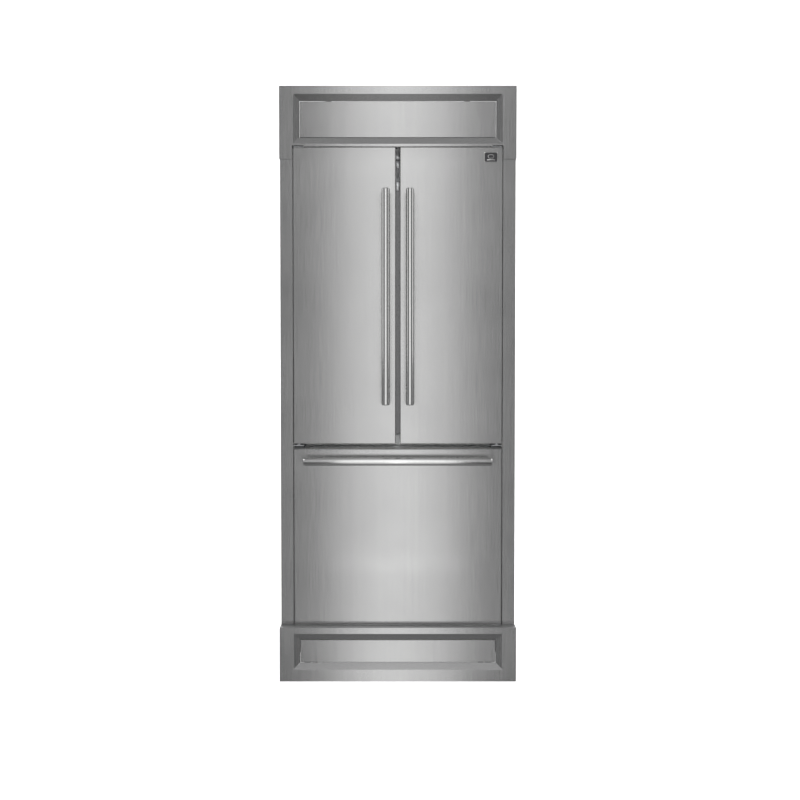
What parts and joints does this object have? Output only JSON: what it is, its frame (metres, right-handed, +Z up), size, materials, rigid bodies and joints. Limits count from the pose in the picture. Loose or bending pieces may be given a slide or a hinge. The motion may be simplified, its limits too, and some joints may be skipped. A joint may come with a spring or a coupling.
{
  "type": "french door refrigerator",
  "caption": "Tall built-in style refrigerator with two hinged doors over a sliding freezer drawer, brushed stainless skins, bar handles and a bevelled trim kit.",
  "frame": {"origin": "on the floor, at the middle of the whole assembly's footprint", "axes": "+Z up, -Y towards the person at the doors, +X to that person's right"},
  "size_m": [0.838, 0.728, 2.106],
  "materials": {
    "brushed_stainless": "satin",
    "trim_stainless": "satin",
    "handle_stainless": "gloss",
    "cabinet_paint": "satin",
    "zinc_steel": "satin",
    "white_liner": "satin",
    "light_grey_plastic": "satin",
    "clear_plastic": "gloss",
    "shelf_glass": "polished",
    "gasket_rubber": "matte",
    "mullion_grey": "satin",
    "foam": "matte",
    "black_plastic": "satin",
    "badge_metal": "satin",
    "compressor_black": "gloss",
    "black_wire": "satin",
    "bright_aluminium": "satin",
    "light_lens": "satin",
    "white_plastic": "satin",
    "foot_black": "matte"
  },
  "bodies": {
    "cabinet": {"cabinet_wrapper": "cabinet_paint", "back_panel": "zinc_steel", "base_plate": "zinc_steel", "cabinet_insulation": "foam", "fresh_food_liner": "white_liner", "freezer_liner": "white_liner", "top_rail": "white_liner", "middle_rail": "white_liner", "top_grille_frame": "trim_stainless", "top_grille_panel": "trim_stainless", "base_grille_frame": "trim_stainless", "base_grille_panel": "trim_stainless", "left_side_trim": "trim_stainless", "right_side_trim": "trim_stainless", "upper_hinges": "zinc_steel", "lower_hinges": "zinc_steel", "hinge_screws": "zinc_steel", "compressor": "compressor_black", "condenser": "black_wire", "condenser_fan_mount": "black_plastic", "drain_pan": "black_plastic", "evaporator": "bright_aluminium", "evaporator_cover": "white_plastic", "air_duct": "light_grey_plastic", "control_panel": "white_plastic", "light_lens": "light_lens", "shelf_frames": "light_grey_plastic", "shelf_glass": "shelf_glass", "crisper_cover": "clear_plastic", "drawer_outer_rails": "zinc_steel", "machine_cover": "zinc_steel", "levelling_feet": "foot_black", "power_inlet": "black_plastic"},
    "left_door": {"left_door_skin": "brushed_stainless", "left_door_liner": "white_liner", "left_door_foam": "foam", "left_door_gasket": "gasket_rubber", "left_door_handle": "handle_stainless", "left_door_bins": "clear_plastic"},
    "right_door": {"right_door_skin": "brushed_stainless", "right_door_liner": "white_liner", "right_door_foam": "foam", "right_door_gasket": "gasket_rubber", "right_door_handle": "handle_stainless", "right_door_bins": "clear_plastic", "badge": "badge_metal"},
    "flipper_mullion": {"centre_mullion": "mullion_grey"},
    "freezer_drawer": {"drawer_skin": "brushed_stainless", "drawer_liner": "white_liner", "drawer_foam": "foam", "drawer_gasket": "gasket_rubber", "drawer_handle": "handle_stainless", "lower_basket": "white_plastic", "drawer_inner_rails": "zinc_steel"},
    "middle_rails": {"drawer_middle_rails": "zinc_steel"},
    "freezer_tray": {"upper_tray": "clear_plastic"},
    "crisper_left": {"left_crisper": "clear_plastic"},
    "crisper_right": {"right_crisper": "clear_plastic"},
    "rear_fan": {"condenser_fan": "black_plastic"},
    "cold_air_fan": {"evaporator_fan": "white_plastic"}
  },
  "joints": [
    {"name": "left_door_hinge", "type": "hinge", "parent": "cabinet", "child": "left_door", "pos_m": [-0.3525, -0.282, 1.366], "axis": [0, 0, -1], "range_deg": [0, 115]},
    {"name": "right_door_hinge", "type": "hinge", "parent": "cabinet", "child": "right_door", "pos_m": [0.3525, -0.282, 1.366], "axis": [0, 0, 1], "range_deg": [0, 115]},
    {"name": "mullion_fold", "type": "hinge", "parent": "left_door", "child": "flipper_mullion", "pos_m": [-0.028, -0.198, 1.372], "axis": [0, 0, 1], "range_deg": [0, 90]},
    {"name": "freezer_drawer_slide", "type": "slide", "parent": "cabinet", "child": "freezer_drawer", "axis": [0, -1, 0], "range_m": [0, 0.42]},
    {"name": "middle_rail_slide", "type": "slide", "parent": "cabinet", "child": "middle_rails", "axis": [0, -1, 0], "range_m": [0, 0.21]},
    {"name": "upper_tray_slide", "type": "slide", "parent": "freezer_drawer", "child": "freezer_tray", "axis": [0, 1, 0], "range_m": [0, 0.13]},
    {"name": "left_crisper_slide", "type": "slide", "parent": "cabinet", "child": "crisper_left", "axis": [0, -1, 0], "range_m": [0, 0.11]},
    {"name": "right_crisper_slide", "type": "slide", "parent": "cabinet", "child": "crisper_right", "axis": [0, -1, 0], "range_m": [0, 0.11]},
    {"name": "condenser_fan_spin", "type": "hinge", "parent": "cabinet", "child": "rear_fan", "pos_m": [0, 0.18, 0.144], "axis": [0, 1, 0], "continuous": true},
    {"name": "evaporator_fan_spin", "type": "hinge", "parent": "cabinet", "child": "cold_air_fan", "pos_m": [0, 0.286, 0.68], "axis": [0, 1, 0], "continuous": true}
  ],
  "couplings": [
    {"joint": "middle_rail_slide", "follows": "freezer_drawer_slide", "ratio": 0.5}
  ]
}
